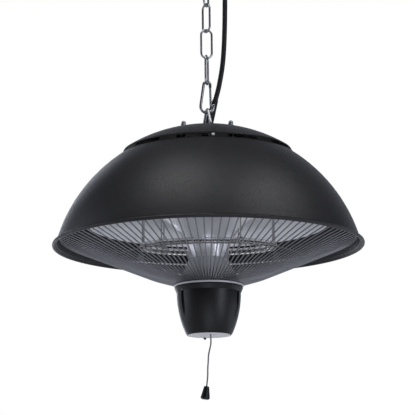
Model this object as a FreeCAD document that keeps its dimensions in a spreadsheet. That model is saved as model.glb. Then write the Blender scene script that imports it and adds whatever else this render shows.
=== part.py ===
import FreeCAD, Part
import math
import os
from types import SimpleNamespace

import Sketcher

# Hanging patio heater: a domed shade with a ring heater behind a wire grille, hung on a chain.
# The origin is on the ceiling, at the axis of the screw hook that carries the part, and +Z is up.
# The rim plane is the level of the shade's lower edge, and heights in the heater count from it.
# Bearings are turned from the front, -Y, towards +X.

V = FreeCAD.Vector
UP = V(0, 0, 1)
ALONG_X = V(1, 0, 0)
ALONG_Y = V(0, 1, 0)

SIZES = {
    # Ceiling hook
    "screw_diameter": 5.5,
    "screw_length": 30,
    "hook_flange_diameter": 24,
    "hook_flange": 2.5,
    "hook_neck": 14,
    "hook_radius": 14,
    "hook_wire": 6,
    "hook_sweep": 280,
    # Clearances: between pieces that move on each other, that touch, and round a shank in a hole
    "joint_gap": 0.3,
    "seat_gap": 0.05,
    "hole_gap": 0.25,
    # Chain and carabiner
    "link_wire": 3,
    "link_length": 44,
    "link_width": 18,
    "carabiner_wire": 4,
    "carabiner_length": 48.5,
    "bow_radius": 9,
    "crown_radius": 4.5,
    "gate_wire": 3.2,
    "gate_pin_diameter": 1.6,
    "cheek_wall": 1,
    # Hanging eye
    "eye_wire": 4,
    "eye_width": 30,
    "eye_arch": 5,
    "eye_knee": 5,
    "eye_knee_reach": 3,
    "eye_rise": 28.5,
    "eye_turn": -68,
    "eye_nut_width": 7,
    "eye_nut_height": 2.6,
    # Shade
    "shade_curve": 214.5,
    "shade_centre": 54,
    "shade_wall": 1.2,
    "shade_top": 123,
    "shade_skirt": 3,
    "rim_flare": 5.7,
    "rim_bead": 5,
    "rim_drop": 3,
    "ledge_radius": 108,
    # Vent collar and cap
    "collar_height": 8.3,
    "collar_wall": 1.5,
    "collar_step": 0.5,
    "slot_angle": 20.7,
    "slot_height": 5.3,
    "slot_bearing": -9.7,
    "collar_screw_diameter": 2.4,
    "collar_screw_head": 4.4,
    "cap_curve": 212,
    "cap_radius": 116,
    "cap_wall": 1.2,
    # Plate, bracket and studs under the cap
    "plate_radius": 118,
    "plate_wall": 2,
    "stud_circle_radius": 37.4,
    "stud_diameter": 4,
    "acorn_width": 7,
    "acorn_height": 8.5,
    "bracket_width": 30,
    "bracket_span": 80,
    "bracket_wall": 2.5,
    "bracket_foot": 14,
    "bracket_drop": 8,
    "bracket_screw_diameter": 4,
    # Tie tube that holds the heater together
    "tube_diameter": 12,
    "tube_bore": 8,
    "tube_nut_width": 16,
    "tube_nut_height": 6,
    "tube_end": 2,
    "spacer_diameter": 20,
    # Reflector and skirt
    "neck_radius": 27,
    "neck_drop": 18,
    "hub_curve": 61,
    "dish_curve": 210,
    "reflector_radius": 164,
    "sheet_wall": 1,
    "flange_bore": 24,
    "skirt_radius": 42.5,
    "skirt_hem": 6,
    "skirt_flare": 132,
    # Heating element
    "element_radius": 88,
    "element_drop": 0.8,
    "element_tilt": 5.2,
    "quartz_diameter": 9,
    "quartz_wall": 1,
    "filament_diameter": 2.4,
    "end_cap_diameter": 11.5,
    "end_cap_length": 12,
    "end_bracket_wall": 1.2,
    "end_bracket_width": 4,
    "hanger_wire": 1.6,
    # Grille
    "grille_wire": 1.8,
    "outer_ring_gap": 0.9,
    "outer_ring_wire": 3.5,
    "outer_ring_height": 10,
    "mid_ring_radius": 130.5,
    "mid_ring_wire": 2,
    "foot_ring_radius": 45.9,
    "foot_ring_wire": 3,
    "wire_overhang": 1,
    "wire_bend_radius": 80,
    "wire_bend_drop": 42.7,
    "wire_bend_reach": 6,
    "clip_width": 10,
    "clip_wall": 1.2,
    # Switch housing
    "cover_height": 54,
    "cover_flange": 1.5,
    "cover_flange_radius": 46.2,
    "housing_radius": 46.5,
    "housing_neck": 44,
    "housing_band": 6,
    "housing_body": 43.5,
    "housing_height": 64,
    "housing_curve": 135,
    "housing_bore": 36.5,
    "housing_foot": 2.5,
    "groove_circle_radius": 42,
    "groove_diameter": 6.4,
    "groove_start": 4,
    "groove_bearing": -55,
    "housing_screw_diameter": 3,
    "housing_screw_head": 5.2,
    "disc_radius": 29,
    "disc_wall": 2.5,
    "disc_ledge": 24,
    "disc_screw_bearing": 193,
    "disc_screw_diameter": 2,
    # Pull switch
    "cord_x": 1.9,
    "cord_y": -20,
    "switch_width": 22,
    "switch_depth": 21,
    "switch_height": 25.5,
    "switch_lid": 3.5,
    "switch_floor": 4,
    "slider_diameter": 6.4,
    "slider_head": 4,
    "slider_stem": 2.8,
    "slider_gap": 0.08,
    "stem_reach": 4,
    "spring_wire": 0.6,
    "pull_cord_diameter": 2,
    "bush_bore": 3,
    "bush_diameter": 5.8,
    "bush_flange": 8,
    "bush_lip": 1.2,
    "cord_break": 0.6,
    "knob_top": 6.8,
    "knob_bottom": 12.4,
    "knob_height": 17.3,
    "knob_round": 2.5,
    "knob_lean": 8,
    # Cable entry, cable and plug
    "gland_x": 0.5,
    "gland_y": 21,
    "gland_thread": 10,
    "gland_width": 15,
    "gland_hex": 3,
    "gland_dome": 2,
    "gland_thread_length": 9,
    "gland_nut_width": 13,
    "gland_nut_height": 3,
    "boot_length": 41,
    "boot_base": 13.5,
    "boot_tip": 8.2,
    "boot_lean": 16,
    "cable_diameter": 7,
    "coil_outer": 45.5,
    "coil_inner": 33,
    "coil_layer": 7.5,
    "coil_turns": 6.5,
    "coil_tail": 33,
    "tie_width": 10,
    "tie_wall": 1.6,
    "plug_diameter": 37,
    "plug_body": 30,
    "plug_shoulder": 11,
    "plug_neck": 14,
    "plug_neck_diameter": 15,
    "pin_diameter": 4.8,
    "pin_length": 19,
    "pin_spacing": 19,
    # Terminal block
    "block_length": 36,
    "block_width": 17,
    "block_height": 14,
    "block_place": 62,
}

LINK_TURNS = (90, 0, 70, -10, 66, -50, 10, 77)
SLOT_COUNT = 11
SCREWED_WEBS = (0, 4, 7)
STUD_BEARINGS = (-60, 60, 180)
GRILLE_WIRES = 108
GRILLE_CLIPS = 6
HANGER_BEARINGS = (29, -45, 151, -135)
GROOVES = 3
COIL_LAYERS = 4
SPRING_CURLS = 6

# The cable's free stretch as offsets from its boot's tip, after a straight run out of the boot,
# and the pull cord's below its bush.
CABLE_ROUTE = (
    (7.0, -1.3, 28.6),
    (10.5, -3.6, 48.1),
    (12.6, -6.0, 70.6),
    (13.9, -8.0, 96.1),
    (14.7, -9.5, 126.1),
    (15.2, -10.5, 160.1),
    (15.5, -11.0, 196.1),
    (15.4, -10.9, 231.1),
)
PULL_ROUTE = (
    (0.3, 0.0, -6.5),
    (0.2, 0.0, -13.5),
    (-1.6, 0.0, -20.5),
    (-3.2, 0.0, -28.0),
    (-3.6, 0.0, -36.5),
    (-4.4, 0.0, -46.5),
    (-4.3, 0.0, -56.5),
    (-6.0, 0.0, -69.6),
)


class Size:
    """A length held both as a number and as an expression on the sheet."""

    def __init__(self, value, text):
        self.value = float(value)
        self.text = text

    def __add__(self, other):
        other = as_size(other)
        return Size(self.value + other.value, f"({self.text} + {other.text})")

    def __sub__(self, other):
        other = as_size(other)
        return Size(self.value - other.value, f"({self.text} - {other.text})")

    def __mul__(self, other):
        other = as_size(other)
        return Size(self.value * other.value, f"({self.text} * {other.text})")

    def __truediv__(self, other):
        other = as_size(other)
        return Size(self.value / other.value, f"({self.text} / {other.text})")

    def __neg__(self):
        return Size(-self.value, f"(0 - {self.text})")

    def root(self):
        return Size(math.sqrt(self.value), f"sqrt({self.text})")


def as_size(value):
    return value if isinstance(value, Size) else Size(value, f"({value!r})")


def leg(hypotenuse, other_leg):
    """The second short side of a right triangle."""
    return (hypotenuse * hypotenuse - other_leg * other_leg).root()


doc = FreeCAD.newDocument("hanging_patio_heater")
sheet = doc.addObject("Spreadsheet::Sheet", "dims")
for row, (alias, value) in enumerate(SIZES.items(), 1):
    sheet.set(f"A{row}", alias)
    sheet.set(f"B{row}", str(value))
    sheet.setAlias(f"B{row}", alias)
doc.recompute()
d = SimpleNamespace(**{alias: Size(sheet.get(alias), f"dims.{alias}") for alias in SIZES})
n = SimpleNamespace(**{alias: float(sheet.get(alias)) for alias in SIZES})
ZERO = as_size(0.0)

# Levels, from the ceiling down
hook_centre = -(d.hook_flange + d.hook_neck + d.hook_radius)
hook_seat = hook_centre - d.hook_radius
half_link = (d.link_length - d.link_wire) / 2
link_levels = [hook_seat + d.hook_wire / 2 + d.joint_gap + d.link_wire / 2 - half_link]
for link_index in range(1, len(LINK_TURNS)):
    link_gap = d.joint_gap if link_index == 1 else d.seat_gap
    link_levels.append(link_levels[-1] - half_link + d.link_wire + link_gap - half_link)
chain_end = link_levels[-1] - half_link
crown_wire = chain_end + d.link_wire / 2 + d.seat_gap + d.carabiner_wire / 2
bow_wire = crown_wire - (d.carabiner_length - d.carabiner_wire)
eye_top = bow_wire + d.carabiner_wire / 2 + d.joint_gap + d.eye_wire / 2
cap_top = eye_top + d.eye_wire / 2 - d.eye_rise

# Levels in the heater, from its rim plane
shade_lip = leg(d.shade_curve, d.shade_top) - d.shade_centre
ledge_under = shade_lip - d.shade_wall
collar_top = shade_lip + d.collar_height
cap_edge = collar_top + d.cap_wall
cap_apex = cap_edge + d.cap_curve - leg(d.cap_curve, d.cap_radius)
rim = cap_top - cap_apex
plate_under = ledge_under - d.plate_wall
bracket_top = cap_apex - d.cap_wall - d.bracket_drop + d.bracket_wall
neck_seam = -d.neck_drop
cover_top = -d.cover_height
cover_step = cover_top - d.foot_ring_wire
cover_under = cover_step - d.cover_flange
housing_step = cover_under - d.housing_band
housing_end = cover_under - d.housing_height
disc_top = housing_end + d.disc_wall

pieces = []


def keep(piece, label):
    piece.Label = label
    pieces.append(piece)
    return piece


def place(piece, level, turn=0.0):
    """Put a piece on the axis at a level of the sheet, turned about Z."""
    piece.Placement = FreeCAD.Placement(V(0, 0, level.value), FreeCAD.Rotation(UP, turn))
    piece.setExpression("Placement.Base.z", level.text)


def feature(label, shape, level=rim):
    """Keep a shape that is drawn from the sheet's numbers, lifted to its level."""
    piece = doc.addObject("Part::Feature", label)
    piece.Shape = shape
    place(piece, level)
    return keep(piece, label)


def new_sketch(body, name, plane, offset=None):
    sketch = body.newObject("Sketcher::SketchObject", name)
    support = next(part for part in body.Origin.OriginFeatures if part.Role == plane)
    sketch.AttachmentSupport = [(support, "")]
    sketch.MapMode = "FlatFace"
    if offset is not None:
        sketch.setExpression("AttachmentOffset.Base.z", offset.text)
    return sketch


def fix(sketch, geometry, position, axis, size):
    """Hold one coordinate of a point at a size of the sheet."""
    if size.value == 0:
        line = -2 if axis == "x" else -1
        sketch.addConstraint(Sketcher.Constraint("PointOnObject", geometry, position, line))
        return
    kind = "DistanceX" if axis == "x" else "DistanceY"
    if size.value > 0:
        made = Sketcher.Constraint(kind, -1, 1, geometry, position, size.value)
        text = size.text
    else:
        made = Sketcher.Constraint(kind, geometry, position, -1, 1, -size.value)
        text = (-size).text
    index = sketch.addConstraint(made)
    sketch.setExpression(f"Constraints[{index}]", text)


def flat(point):
    return V(point[0].value, point[1].value, 0)


def draw_outline(sketch, corners):
    """Draw a closed outline. A corner is (x, y), or (x, y, centre, fixed) at the end of an arc
    about that centre, where fixed says which of its coordinates is given."""
    corners = [(as_size(c[0]), as_size(c[1]), *c[2:]) for c in corners]
    ends = []
    for index, corner in enumerate(corners):
        start = corners[index - 1]
        if len(corner) == 2:
            line = sketch.addGeometry(Part.LineSegment(flat(start), flat(corner)))
            ends.append((line, 1, 2))
            continue
        centre = flat([as_size(value) for value in corner[2]])
        first = flat(start) - centre
        last = flat(corner) - centre
        clockwise = first.cross(last).z < 0
        angles = [math.atan2(first.y, first.x), math.atan2(last.y, last.x)]
        if clockwise:
            angles.reverse()
        circle = Part.Circle(centre, UP, first.Length)
        arc = sketch.addGeometry(Part.ArcOfCircle(circle, *angles))
        ends.append((arc, 2, 1) if clockwise else (arc, 1, 2))
    for index, (segment, _, end) in enumerate(ends):
        following, start, _ = ends[(index + 1) % len(ends)]
        sketch.addConstraint(Sketcher.Constraint("Coincident", segment, end, following, start))
        corner = corners[index]
        if len(corner) == 2:
            fix(sketch, segment, end, "x", corner[0])
            fix(sketch, segment, end, "y", corner[1])
        else:
            centre = [as_size(value) for value in corner[2]]
            fix(sketch, segment, 3, "x", centre[0])
            fix(sketch, segment, 3, "y", centre[1])
            fix(sketch, segment, end, corner[3], corner[0] if corner[3] == "x" else corner[1])


def turned(label, corners, level=rim, turn=0.0):
    """A piece of revolution about Z, from its outline in radius and height."""
    body = doc.addObject("PartDesign::Body", label)
    sketch = new_sketch(body, label + "_outline", "XZ_Plane")
    draw_outline(sketch, corners)
    revolution = body.newObject("PartDesign::Revolution", label + "_revolution")
    revolution.Profile = sketch
    revolution.ReferenceAxis = (sketch, ["V_Axis"])
    revolution.Angle = 360
    place(body, level, turn)
    doc.recompute()
    return keep(body, label)


def cut_holes(body, name, holes, start=None, upward=None):
    """Cut round holes along Z: right through, or from a level upward or downward."""
    before = len(body.Shape.Faces)
    sketch = new_sketch(body, name + "_circles", "XY_Plane", start)
    for x, y, radius in holes:
        circle = sketch.addGeometry(Part.Circle(flat((x, y)), UP, radius.value))
        fix(sketch, circle, 3, "x", x)
        fix(sketch, circle, 3, "y", y)
        index = sketch.addConstraint(Sketcher.Constraint("Radius", circle, radius.value))
        sketch.setExpression(f"Constraints[{index}]", radius.text)
    pocket = body.newObject("PartDesign::Pocket", name)
    pocket.Profile = sketch
    pocket.Type = "ThroughAll"
    if start is None:
        pocket.SideType = "Symmetric"
    else:
        pocket.Reversed = upward
    doc.recompute()
    if len(body.Shape.Faces) <= before:
        raise ValueError(f"{name} cut nothing")


def polar(radius, bearing):
    """The place at a radius and a bearing, in sizes."""
    angle = math.radians(bearing)
    return radius * math.sin(angle), -(radius * math.cos(angle))


def spot(radius, bearing, height=0.0):
    """The same place in numbers, as a vector."""
    angle = math.radians(bearing)
    return V(radius * math.sin(angle), -radius * math.cos(angle), height)


def cylinder(radius, low, high, place_at=V(0, 0, 0)):
    return Part.makeCylinder(radius, high - low, place_at + V(0, 0, low), UP)


def hexagon(width, low, high, bore, place_at=V(0, 0, 0)):
    """A hexagon prism with a bore, as wide across its flats as it says."""
    reach = width / math.sqrt(3)
    corners = [place_at + spot(reach, 60 * k, low) for k in range(7)]
    prism = Part.Face(Part.makePolygon(corners)).extrude(UP * (high - low))
    return prism.cut(cylinder(bore, low, high, place_at))


def arc_edge(start, corner, end):
    """The arc from start to end that is tangent to both lines through the corner."""
    chord_middle = (start + end) / 2
    weight = (chord_middle - start).Length / (corner - start).Length
    middle = (chord_middle + corner * weight) / (1 + weight)
    return Part.Arc(start, middle, end).toShape()


def unit(vector):
    return V(vector).normalize()


def swept(edges, radius):
    """A round bar along edges that follow each other smoothly."""
    path = Part.Wire(edges)
    start = edges[0].valueAt(edges[0].FirstParameter)
    heading = edges[0].tangentAt(edges[0].FirstParameter)
    ring = Part.Wire(Part.makeCircle(radius, start, heading))
    bar = path.makePipeShell([ring], True, False)
    expected = math.pi * radius**2 * path.Length
    if abs(bar.Volume - expected) > 0.01 * expected:
        raise ValueError(f"bar volume {bar.Volume:.1f} differs from {expected:.1f}")
    return bar


def soft_bar(label, points, radius):
    """A cord along straight runs joined by tangent arcs as large as the runs allow."""
    edges = []
    radii = []
    cursor = points[0]
    for before, corner, after in zip(points, points[1:], points[2:]):
        arriving = corner - before
        leaving = after - corner
        half_turn = arriving.getAngle(leaving) / 2
        reach = 0.45 * min(arriving.Length, leaving.Length)
        start = corner - unit(arriving) * reach
        end = corner + unit(leaving) * reach
        edges.append(Part.LineSegment(cursor, start).toShape())
        edges.append(arc_edge(start, corner, end))
        radii.append(reach / math.tan(half_turn))
        cursor = end
    edges.append(Part.LineSegment(cursor, points[-1]).toShape())
    length = sum(edge.Length for edge in edges)
    print(label, "length", round(length, 1), "radii", [round(value) for value in radii])
    return swept(edges, radius)


def biarc(start, heading, end, arrival):
    """Two arcs that leave start along heading and reach end along arrival."""
    across = end - start
    both = heading + arrival
    spread = 2 * (1 - heading.dot(arrival))
    reach = across.dot(both)
    if spread < 1e-9:
        length = across.dot(across) / (2 * reach)
    else:
        length = (math.sqrt(reach**2 + spread * across.dot(across)) - reach) / spread
    first = start + heading * length
    second = end - arrival * length
    middle = (first + second) / 2
    return [arc_edge(start, first, middle), arc_edge(middle, second, end)]


def ceiling_hook():
    """An open screw hook: a plain shank for the ceiling, a flange, a neck and a bent wire."""
    shank = doc.addObject("Part::Cylinder", "hook_shank")
    shank.setExpression("Radius", (d.screw_diameter / 2).text)
    shank.setExpression("Height", d.screw_length.text)
    flange = doc.addObject("Part::Cylinder", "hook_flange_disc")
    flange.setExpression("Radius", (d.hook_flange_diameter / 2).text)
    flange.setExpression("Height", d.hook_flange.text)
    place(flange, -d.hook_flange)
    neck = doc.addObject("Part::Cylinder", "hook_neck_bar")
    neck.setExpression("Radius", (d.hook_wire / 2).text)
    neck.setExpression("Height", d.hook_neck.text)
    place(neck, -(d.hook_flange + d.hook_neck))
    bend = doc.addObject("Part::Torus", "hook_bend")
    bend.setExpression("Radius1", d.hook_radius.text)
    bend.setExpression("Radius2", (d.hook_wire / 2).text)
    bend.setExpression("Angle3", d.hook_sweep.text)
    # The bend starts under the neck, at the top, and comes round by the front of the ring.
    stand = FreeCAD.Rotation(ALONG_X, -90)
    start_at_top = FreeCAD.Rotation(UP, -90)
    bend.Placement = FreeCAD.Placement(V(0, 0, hook_centre.value), stand.multiply(start_at_top))
    bend.setExpression("Placement.Base.z", hook_centre.text)
    hook = doc.addObject("Part::MultiFuse", "ceiling_hook")
    hook.Shapes = [shank, flange, neck, bend]
    keep(hook, "ceiling_hook")


def chain_link(index, level, turn):
    """A welded link: two half rings joined by two straight bars, in a plane turned about Z."""
    bend = (d.link_width - d.link_wire) / 2
    half_run = half_link - bend
    heading = FreeCAD.Rotation(UP, turn)
    bars = []
    for side in (-1, 1):
        ring = doc.addObject("Part::Torus", f"link_{index}_ring_{side}")
        ring.setExpression("Radius1", bend.text)
        ring.setExpression("Radius2", (d.link_wire / 2).text)
        ring.Angle3 = 180
        ring.Placement.Rotation = FreeCAD.Rotation(ALONG_X, 90 * side)
        ring.setExpression("Placement.Base.z", (half_run * side).text)
        bar = doc.addObject("Part::Cylinder", f"link_{index}_bar_{side}")
        bar.setExpression("Radius", (d.link_wire / 2).text)
        bar.setExpression("Height", (half_run * 2).text)
        bar.setExpression("Placement.Base.x", (bend * side).text)
        bar.setExpression("Placement.Base.z", (-half_run).text)
        bars += [ring, bar]
    link = doc.addObject("Part::MultiFuse", f"chain_link_{index}")
    link.Shapes = bars
    link.Placement.Rotation = heading
    link.setExpression("Placement.Base.z", level.text)
    keep(link, f"chain_link_{index}")


def carabiner():
    """A pear shaped snap hook: bent wire with a forked end, and a gate on a pin in the fork."""
    wire = n.carabiner_wire / 2
    bow_centre = V(0, 0, bow_wire.value + n.bow_radius)
    crown_centre = V(0, 0, crown_wire.value - n.crown_radius)
    rise = crown_centre.z - bow_centre.z
    lean = math.asin((n.bow_radius - n.crown_radius) / rise)
    outward = V(-math.cos(lean), 0, math.sin(lean))

    def on_bow(angle):
        return bow_centre + V(math.cos(angle), 0, math.sin(angle)) * n.bow_radius

    nose_angle = math.radians(8)
    spine_low = bow_centre + outward * n.bow_radius
    spine_high = crown_centre + outward * n.crown_radius
    crown_right = crown_centre + V(n.crown_radius, 0, 0)
    edges = [
        Part.Arc(on_bow(nose_angle), bow_centre - UP * n.bow_radius, spine_low).toShape(),
        Part.LineSegment(spine_low, spine_high).toShape(),
        Part.Arc(spine_high, crown_centre + UP * n.crown_radius, crown_right).toShape(),
    ]
    body = swept(edges, wire)
    body = body.fuse(Part.makeSphere(wire, on_bow(nose_angle)))

    # The fork: two cheeks under the wire's end, with the gate between them.
    pivot = crown_right - UP * n.carabiner_wire * 0.75
    cheek_in = n.gate_wire / 2 + n.joint_gap
    for side in (-1, 1):
        low = cheek_in if side > 0 else -cheek_in - n.cheek_wall
        cheek = Part.makeCylinder(wire, n.cheek_wall, V(pivot.x, low, pivot.z), ALONG_Y)
        strap = Part.makeBox(
            n.carabiner_wire, n.cheek_wall, crown_right.z - pivot.z, V(pivot.x - wire, low, pivot.z)
        )
        body = body.fuse(cheek.fuse(strap))
    bridge = Part.makeBox(
        n.carabiner_wire,
        2 * (cheek_in + n.cheek_wall),
        n.cheek_wall,
        V(pivot.x - wire, -cheek_in - n.cheek_wall, crown_right.z - n.cheek_wall),
    )
    body = body.fuse(bridge)
    pin_reach = cheek_in + n.cheek_wall
    pin_start = V(pivot.x, -pin_reach, pivot.z)
    pin_radius = n.gate_pin_diameter / 2
    body = body.cut(Part.makeCylinder(pin_radius + n.seat_gap, 2 * pin_reach, pin_start, ALONG_Y))
    feature("carabiner", body.removeSplitter(), ZERO)
    feature("gate_pin", Part.makeCylinder(pin_radius, 2 * pin_reach, pin_start, ALONG_Y), ZERO)

    # The gate rests against the inside of the nose.
    nose = on_bow(nose_angle)
    gate_radius = n.gate_wire / 2
    tip = V(nose.x - wire - gate_radius - n.joint_gap, 0, nose.z)
    gate = Part.makeCylinder(gate_radius, (tip - pivot).Length, pivot, tip - pivot)
    gate = gate.fuse(Part.makeSphere(gate_radius, tip))
    knuckle = Part.makeCylinder(gate_radius, n.gate_wire, pivot - ALONG_Y * gate_radius, ALONG_Y)
    gate = gate.fuse(knuckle)
    bore = Part.makeCylinder(pin_radius + n.seat_gap, 2 * pin_reach, pin_start, ALONG_Y)
    feature("carabiner_gate", gate.cut(bore).removeSplitter(), ZERO)
    print("gate pivot", [round(value, 3) for value in pivot])


eye_reach = (d.eye_width - d.eye_wire) / 2
eye_angle = math.radians(n.eye_turn)
eye_legs = [
    (eye_reach * (side * math.cos(eye_angle)), eye_reach * (side * math.sin(eye_angle)))
    for side in (-1, 1)
]
eye_leg_end = bracket_top - d.bracket_wall - d.eye_nut_height * 2


def hanging_eye():
    """A bent wire eye: a narrow arch on legs that spread, then go straight down through the cap and
    the bracket, with a nut above and below the bracket."""
    arch = V(0, 0, eye_top.value - n.eye_arch)
    knee = V(eye_reach.value, 0, cap_top.value + n.eye_knee)
    way = arch - knee
    lean = math.atan2(way.z, way.x) - math.asin(n.eye_arch / way.Length)
    heading = V(math.cos(lean), 0, math.sin(lean))
    right = [
        V(knee.x, 0, rim.value + eye_leg_end.value),
        knee - UP * n.eye_knee_reach,
        knee,
        knee + heading * n.eye_knee_reach,
        knee + heading * math.sqrt(way.Length**2 - n.eye_arch**2),
    ]
    turn = FreeCAD.Rotation(UP, n.eye_turn)
    left = [turn.multVec(V(-point.x, 0, point.z)) for point in right]
    right = [turn.multVec(point) for point in right]
    edges = [
        Part.LineSegment(right[0], right[1]).toShape(),
        arc_edge(*right[1:4]),
        Part.LineSegment(right[3], right[4]).toShape(),
        Part.Arc(right[4], arch + UP * n.eye_arch, left[4]).toShape(),
        Part.LineSegment(left[4], left[3]).toShape(),
        arc_edge(left[3], left[2], left[1]),
        Part.LineSegment(left[1], left[0]).toShape(),
    ]
    feature("hanging_eye", swept(edges, n.eye_wire / 2), ZERO)
    nuts = []
    for x, y in eye_legs:
        at = V(x.value, y.value, 0)
        bore = n.eye_wire / 2 + n.seat_gap
        high = bracket_top.value
        low = high - n.bracket_wall
        nuts.append(hexagon(n.eye_nut_width, high, high + n.eye_nut_height, bore, at))
        nuts.append(hexagon(n.eye_nut_width, low - n.eye_nut_height, low, bore, at))
    feature("eye_nuts", Part.makeCompound(nuts))


stud_places = [polar(d.stud_circle_radius, bearing) for bearing in STUD_BEARINGS]
acorn_seat = cap_apex - d.cap_curve + leg(d.cap_curve, d.stud_circle_radius - d.acorn_width / 2)


def top_cap():
    """The domed cap over the vent, drilled for the eye, the studs and the cable gland."""
    centre = (ZERO, cap_apex - d.cap_curve)
    inner = d.cap_curve - d.cap_wall
    inner_edge = leg(inner, collar_top - centre[1])
    cap = turned(
        "top_cap",
        [
            (ZERO, cap_apex),
            (d.cap_radius, cap_edge, centre, "x"),
            (d.cap_radius, collar_top),
            (inner_edge, collar_top),
            (ZERO, cap_apex - d.cap_wall, centre, "x"),
        ],
    )
    holes = [(x, y, d.eye_wire / 2 + d.hole_gap) for x, y in eye_legs]
    holes += [(x, y, d.stud_diameter / 2 + d.hole_gap) for x, y in stud_places]
    holes.append((d.gland_x, d.gland_y, d.gland_thread / 2 + d.hole_gap))
    cut_holes(cap, "cap_holes", holes)


def cap_fixings():
    """Studs on the plate that hold the cap down, and their acorn nuts."""
    studs = []
    nuts = []
    seat = acorn_seat.value
    hex_high = seat + 0.45 * n.acorn_height
    dome = n.acorn_width * 0.46
    for x, y in stud_places:
        at = V(x.value, y.value, 0)
        radius = n.stud_diameter / 2
        studs.append(cylinder(radius, ledge_under.value, seat + 0.5 * n.acorn_height, at))
        nut = hexagon(n.acorn_width, seat, hex_high, radius + n.seat_gap, at)
        crown = cylinder(dome, hex_high, seat + n.acorn_height - dome, at)
        crown = crown.fuse(Part.makeSphere(dome, at + UP * (seat + n.acorn_height - dome)))
        hollow = cylinder(radius + n.seat_gap, seat, seat + 0.5 * n.acorn_height + n.seat_gap, at)
        nuts.append(nut.fuse(crown).cut(hollow).removeSplitter())
    feature("cap_studs", Part.makeCompound(studs))
    feature("cap_nuts", Part.makeCompound(nuts))


def vent_collar():
    """The sloping ring under the cap, with a row of slots, and its screws."""
    low_radius = d.shade_top - d.collar_step
    collar = turned(
        "vent_collar",
        [
            (low_radius, shade_lip),
            (d.cap_radius, collar_top),
            (d.cap_radius - d.collar_wall, collar_top),
            (low_radius - d.collar_wall, shade_lip),
        ],
        turn=n.slot_bearing - 90,
    )
    before = collar.Shape.Volume
    slot_low = shade_lip + (d.collar_height - d.slot_height) / 2
    inside = d.cap_radius - d.collar_wall * 4
    sketch = new_sketch(collar, "slot_outline", "XZ_Plane")
    draw_outline(
        sketch,
        [
            (inside, slot_low),
            (d.shade_top, slot_low),
            (d.shade_top, slot_low + d.slot_height),
            (inside, slot_low + d.slot_height),
        ],
    )
    groove = collar.newObject("PartDesign::Groove", "slot")
    groove.Profile = sketch
    groove.ReferenceAxis = (sketch, ["V_Axis"])
    groove.setExpression("Angle", d.slot_angle.text)
    groove.Midplane = True
    pattern = collar.newObject("PartDesign::PolarPattern", "slots")
    pattern.Originals = [groove]
    pattern.Axis = (sketch, ["V_Axis"])
    pattern.Angle = 360
    pattern.Occurrences = SLOT_COUNT
    collar.Tip = pattern
    doc.recompute()
    if collar.Shape.Volume >= before:
        raise ValueError("the slots cut nothing")

    # The screws stand square on the slope, in the webs between the slots.
    run = low_radius.value - n.cap_radius
    slope = math.hypot(run, n.collar_height)
    middle = V((low_radius.value + n.cap_radius) / 2, 0, shade_lip.value + n.collar_height / 2)
    normal = V(n.collar_height / slope, 0, run / slope)
    head_radius = n.collar_screw_head / 2
    head = Part.makeCylinder(head_radius, head_radius * 0.7, middle + normal * n.seat_gap, normal)
    screws = []
    step = 360 / SLOT_COUNT
    for web in SCREWED_WEBS:
        bearing = n.slot_bearing + n.slot_angle / 2 + 3 + web * step
        screw = head.copy()
        screw.rotate(V(0, 0, 0), UP, bearing - 90)
        screws.append(screw)
    feature("collar_screws", Part.makeCompound(screws))


def shade():
    """The spun dome with a rolled bead at its rim and a ledge turned in at its top."""
    centre = (ZERO, -d.shade_centre)
    inner = d.shade_curve - d.shade_wall
    bead = d.rim_bead / 2
    skirt_radius = leg(d.shade_curve, d.shade_skirt + d.shade_centre)
    rim_radius = skirt_radius + d.rim_flare
    bead_centre = (rim_radius - bead, bead - d.rim_drop)
    skirt_inside = d.shade_skirt - d.shade_wall
    turned(
        "shade",
        [
            (d.ledge_radius, shade_lip),
            (d.shade_top, shade_lip),
            (skirt_radius, d.shade_skirt, centre, "y"),
            (bead_centre[0], bead_centre[1] + bead),
            (rim_radius, bead_centre[1], bead_centre, "y"),
            (bead_centre[0], bead_centre[1] - bead, bead_centre, "x"),
            (bead_centre[0] - bead, bead_centre[1], bead_centre, "y"),
            (leg(inner, skirt_inside + d.shade_centre), skirt_inside),
            (leg(inner, ledge_under + d.shade_centre), ledge_under, centre, "y"),
            (d.ledge_radius, ledge_under),
        ],
    )


bracket_screw_x = d.bracket_span / 2 + d.bracket_foot / 2


def mounting_plate():
    """The disc that carries the shade's ledge, the bracket and the tie tube."""
    bore = d.tube_diameter / 2 + d.hole_gap
    plate = turned(
        "mounting_plate",
        [
            (bore, plate_under),
            (d.plate_radius, plate_under),
            (d.plate_radius, ledge_under),
            (bore, ledge_under),
        ],
    )
    screw = d.bracket_screw_diameter / 2 + d.hole_gap
    cut_holes(plate, "plate_holes", [(bracket_screw_x, ZERO, screw), (-bracket_screw_x, ZERO, screw)])


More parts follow.
